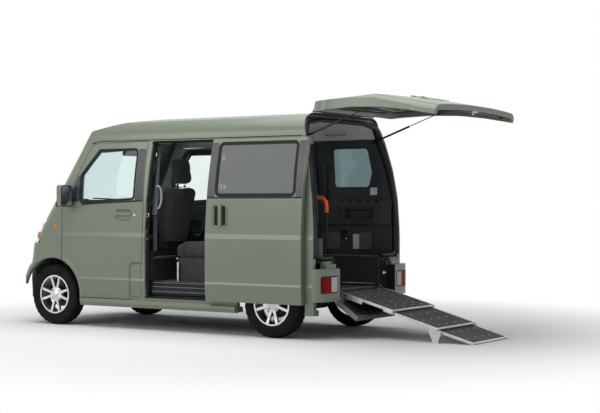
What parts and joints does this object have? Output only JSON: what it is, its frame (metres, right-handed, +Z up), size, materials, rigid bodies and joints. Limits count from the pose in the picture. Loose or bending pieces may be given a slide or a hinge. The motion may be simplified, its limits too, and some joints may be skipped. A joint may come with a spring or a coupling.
{
  "type": "wheelchair accessible van",
  "caption": "Small high-roof van with a sunk rear floor, an upward-opening tailgate and a folding three-part ramp for a wheelchair.",
  "frame": {"origin": "on the ground, on the centre plane, midway between the front bumper and the tip of the lowered ramp", "axes": "+X towards the van's left side, +Y towards its rear and the ramp, +Z up"},
  "size_m": [1.8, 4.5337, 2.0031],
  "materials": {
    "paint": "gloss sage green metallic",
    "tyre": "matte",
    "alloy": "satin",
    "clear_glass": "clear, light green tint",
    "privacy_glass": "dark privacy tint",
    "lamp_clear": "clear lens",
    "lamp_red": "gloss",
    "black_plastic": "grained",
    "dark_trim": "grained",
    "light_trim": "felt",
    "seat_fabric": "woven charcoal",
    "underbody": "matte black",
    "dark_steel": "satin black",
    "engine": "raw",
    "strut_black": "satin black",
    "polished_rod": "polished",
    "ramp_alloy": "satin with a dark non-slip deck",
    "orange_plastic": "satin"
  },
  "bodies": {
    "root": {"body_side_left": "paint", "body_side_right": "paint", "roof_panel": "paint", "nose_panel": "paint", "bonnet": "paint", "front_bumper": "paint", "grille": "black_plastic", "windscreen": "clear_glass", "quarter_glass": "privacy_glass", "headlamps": "lamp_clear", "sliding_door_left": "paint", "sliding_door_left_glass": "privacy_glass", "sliding_door_right": "paint", "sliding_door_right_glass": "privacy_glass", "ramp_mount": "dark_steel", "rear_bumper": "paint", "tail_lamps": "lamp_red", "floor_pan": "underbody", "wheelhouses": "underbody", "engine_block": "engine", "fuel_tank": "black_plastic", "rear_axle": "dark_steel", "front_suspension": "dark_steel", "exhaust": "dark_steel", "front_seats": "seat_fabric", "rear_seats": "seat_fabric", "rear_seat_stand": "dark_steel", "dashboard": "black_plastic", "trim_left": "dark_trim", "trim_right": "dark_trim", "headliner": "light_trim", "grab_bar": "orange_plastic", "wipers": "black_plastic"},
    "front_door_left": {"front_door_left": "paint", "front_door_left_glass": "clear_glass", "mirror_left": "paint"},
    "strut_cylinder_left": {"strut_cylinder_left": "strut_black"},
    "strut_rod_left": {"strut_rod_left": "polished_rod"},
    "knuckle_left": {"knuckle_left": "dark_steel"},
    "wheel_front_left": {"tyre_front_left": "tyre", "rim_front_left": "alloy"},
    "wheel_rear_left": {"tyre_rear_left": "tyre", "rim_rear_left": "alloy"},
    "front_door_right": {"front_door_right": "paint", "front_door_right_glass": "clear_glass", "mirror_right": "paint"},
    "strut_cylinder_right": {"strut_cylinder_right": "strut_black"},
    "strut_rod_right": {"strut_rod_right": "polished_rod"},
    "knuckle_right": {"knuckle_right": "dark_steel"},
    "wheel_front_right": {"tyre_front_right": "tyre", "rim_front_right": "alloy"},
    "wheel_rear_right": {"tyre_rear_right": "tyre", "rim_rear_right": "alloy"},
    "tailgate": {"tailgate": "paint", "tailgate_glass": "privacy_glass"},
    "ramp_upper": {"ramp_upper": "ramp_alloy"},
    "ramp_middle": {"ramp_middle": "ramp_alloy"},
    "ramp_lower": {"ramp_lower": "ramp_alloy"},
    "bumper_flap": {"bumper_flap": "paint"},
    "steering_wheel": {"steering_wheel": "black_plastic"}
  },
  "joints": [
    {"name": "front_door_left_hinge", "type": "hinge", "parent": "root", "child": "front_door_left", "pos_m": [0.7235, -1.68437, 0.7], "axis": [0, 0, -1], "range_deg": [0, 65]},
    {"name": "front_door_right_hinge", "type": "hinge", "parent": "root", "child": "front_door_right", "pos_m": [-0.7235, -1.68437, 0.7], "axis": [0, 0, 1], "range_deg": [0, 65]},
    {"name": "tailgate_hinge", "type": "hinge", "parent": "root", "child": "tailgate", "pos_m": [0, 0.87463, 1.893], "axis": [-1, 0, 0], "range_deg": [0, 79.5]},
    {"name": "strut_left_pivot", "type": "hinge", "parent": "root", "child": "strut_cylinder_left", "pos_m": [0.585, 0.83263, 1.672], "axis": [-1, 0, 0], "range_deg": [0, 85.92]},
    {"name": "strut_left_slide", "type": "slide", "parent": "strut_cylinder_left", "child": "strut_rod_left", "axis": [0, -0.9399, -0.3415], "range_m": [0, 0.2816]},
    {"name": "strut_right_pivot", "type": "hinge", "parent": "root", "child": "strut_cylinder_right", "pos_m": [-0.585, 0.83263, 1.672], "axis": [-1, 0, 0], "range_deg": [0, 85.92]},
    {"name": "strut_right_slide", "type": "slide", "parent": "strut_cylinder_right", "child": "strut_rod_right", "axis": [0, -0.9399, -0.3415], "range_m": [0, 0.2816]},
    {"name": "ramp_hinge", "type": "hinge", "parent": "root", "child": "ramp_upper", "pos_m": [0, 1.04263, 0.362], "axis": [1, 0, 0], "range_deg": [0, 118]},
    {"name": "ramp_middle_slide", "type": "slide", "parent": "ramp_upper", "child": "ramp_middle", "axis": [0, -0.9644, 0.2646], "range_m": [0, 0.37]},
    {"name": "ramp_lower_slide", "type": "slide", "parent": "ramp_middle", "child": "ramp_lower", "axis": [0, -0.9644, 0.2646], "range_m": [0, 0.29]},
    {"name": "bumper_flap_hinge", "type": "hinge", "parent": "root", "child": "bumper_flap", "pos_m": [0, 1.08063, 0.326], "axis": [1, 0, 0], "range_deg": [0, 123]},
    {"name": "steer_left", "type": "hinge", "parent": "root", "child": "knuckle_left", "pos_m": [0.57, -1.83737, 0.2785], "axis": [0, 0, 1], "range_deg": [-33, 33]},
    {"name": "wheel_front_left_spin", "type": "hinge", "parent": "knuckle_left", "child": "wheel_front_left", "pos_m": [0.645, -1.83737, 0.2785], "axis": [1, 0, 0], "continuous": true},
    {"name": "wheel_rear_left_spin", "type": "hinge", "parent": "root", "child": "wheel_rear_left", "pos_m": [0.645, 0.59263, 0.2785], "axis": [1, 0, 0], "continuous": true},
    {"name": "steer_right", "type": "hinge", "parent": "root", "child": "knuckle_right", "pos_m": [-0.57, -1.83737, 0.2785], "axis": [0, 0, 1], "range_deg": [-33, 33]},
    {"name": "wheel_front_right_spin", "type": "hinge", "parent": "knuckle_right", "child": "wheel_front_right", "pos_m": [-0.645, -1.83737, 0.2785], "axis": [1, 0, 0], "continuous": true},
    {"name": "wheel_rear_right_spin", "type": "hinge", "parent": "root", "child": "wheel_rear_right", "pos_m": [-0.645, 0.59263, 0.2785], "axis": [1, 0, 0], "continuous": true},
    {"name": "steering_wheel_turn", "type": "hinge", "parent": "root", "child": "steering_wheel", "pos_m": [-0.35, -1.37437, 0.977], "axis": [0, 0.8829, 0.4695], "range_deg": [-495, 495]}
  ],
  "couplings": [
    {"joint": "strut_left_pivot", "follows": "tailgate_hinge", "ratio": 1.0807},
    {"joint": "strut_left_slide", "follows": "tailgate_hinge", "m_per_rad": 0.20293},
    {"joint": "strut_right_pivot", "follows": "tailgate_hinge", "ratio": 1.0807},
    {"joint": "strut_right_slide", "follows": "tailgate_hinge", "m_per_rad": 0.20293},
    {"joint": "bumper_flap_hinge", "follows": "ramp_hinge", "ratio": 1.0423},
    {"joint": "steer_right", "follows": "steer_left", "ratio": 1},
    {"joint": "steering_wheel_turn", "follows": "steer_left", "ratio": 15}
  ]
}
